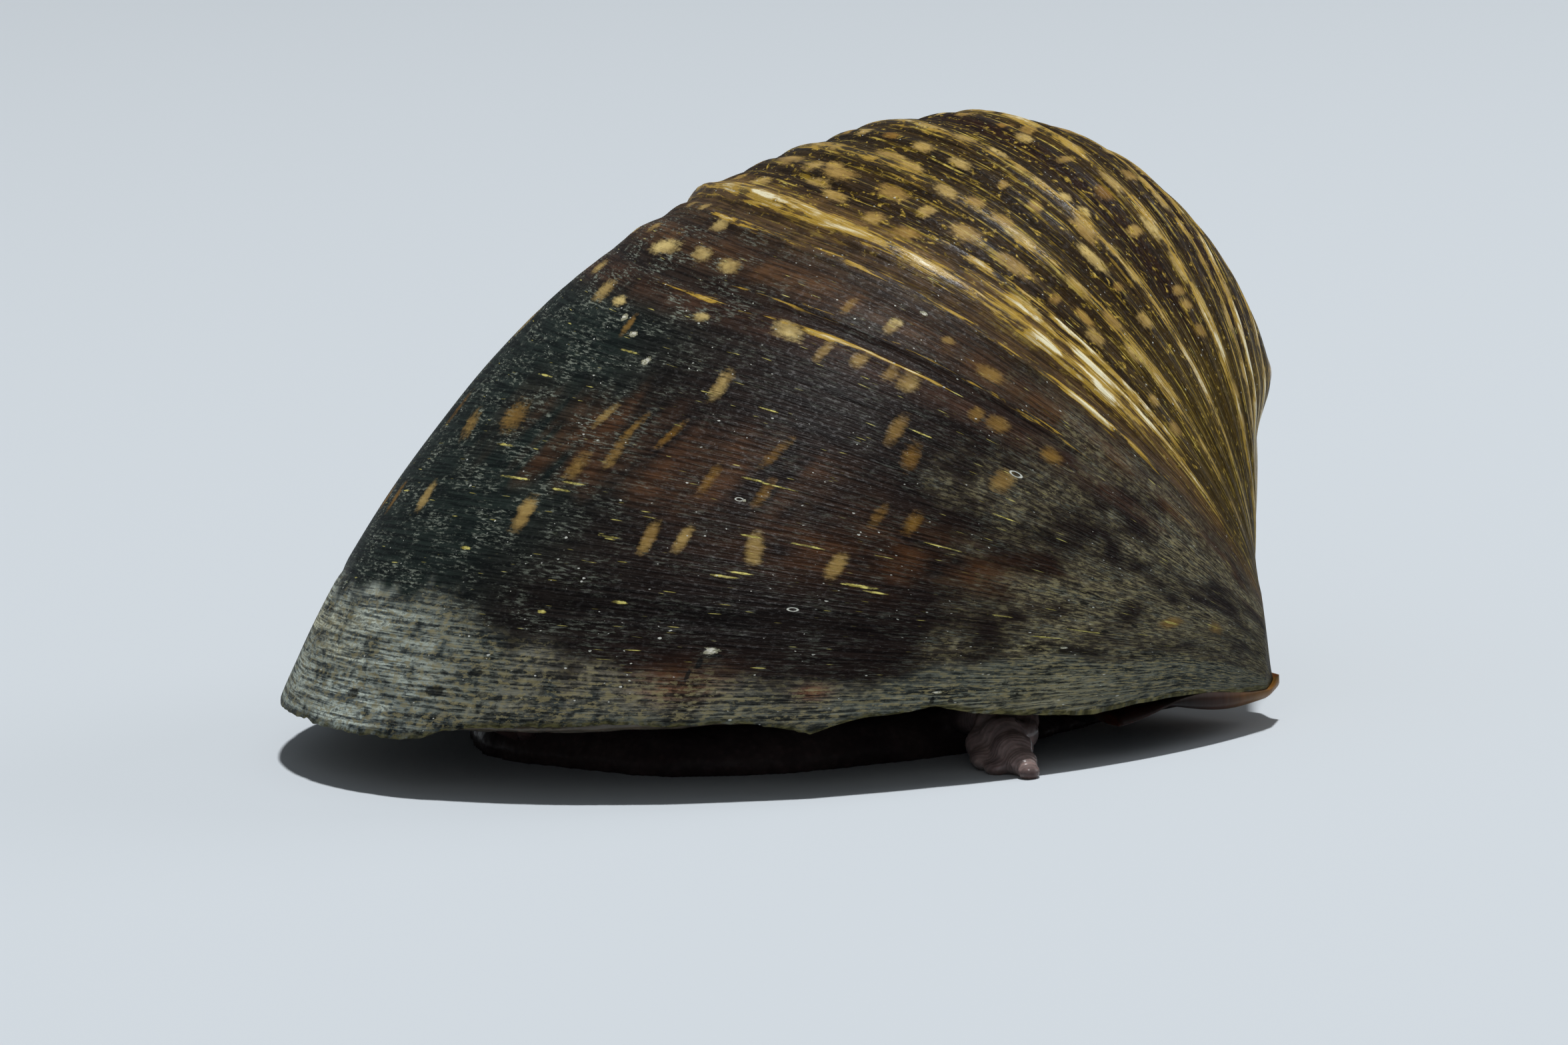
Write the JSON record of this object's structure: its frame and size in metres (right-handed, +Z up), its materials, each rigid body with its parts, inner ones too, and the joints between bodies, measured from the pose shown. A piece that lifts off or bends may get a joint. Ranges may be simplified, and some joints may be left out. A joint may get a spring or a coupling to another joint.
{
  "type": "nerite snail",
  "caption": "Dark helmet-shaped nerite snail at rest: ridged dome shell with a low spire at the right rear, held just off the ground over an oval foot.",
  "frame": {"origin": "on the ground, under the middle of the animal's box", "axes": "+Z up, -X towards the head and the front lip, -Y the animal's left side, +Y its right side with the spire"},
  "size_m": [0.028, 0.0236, 0.0148],
  "materials": {
    "shell": "satin, finely ridged horny skin over the shell",
    "callus": "polished amber shell",
    "horn": "smooth horn",
    "flesh": "wet, finely wrinkled skin",
    "sole": "wet, smooth skin",
    "eye": "wet gloss"
  },
  "bodies": {
    "root": {"shell_body_whorl": "shell", "shell_spire": "shell", "shell_columellar_deck": "callus", "operculum": "horn", "foot_front": "sole", "foot_middle": "sole", "foot_tail": "sole", "foot_left_fold": "flesh", "body_column": "flesh", "mantle": "flesh", "mantle_edge": "flesh", "head": "flesh", "snout": "flesh", "tentacle_left_base": "flesh", "tentacle_left_tip": "flesh", "eyestalk_left": "flesh", "eye_left": "eye", "tentacle_right_base": "flesh", "tentacle_right_tip": "flesh", "eyestalk_right": "flesh", "eye_right": "eye"}
  },
  "joints": []
}
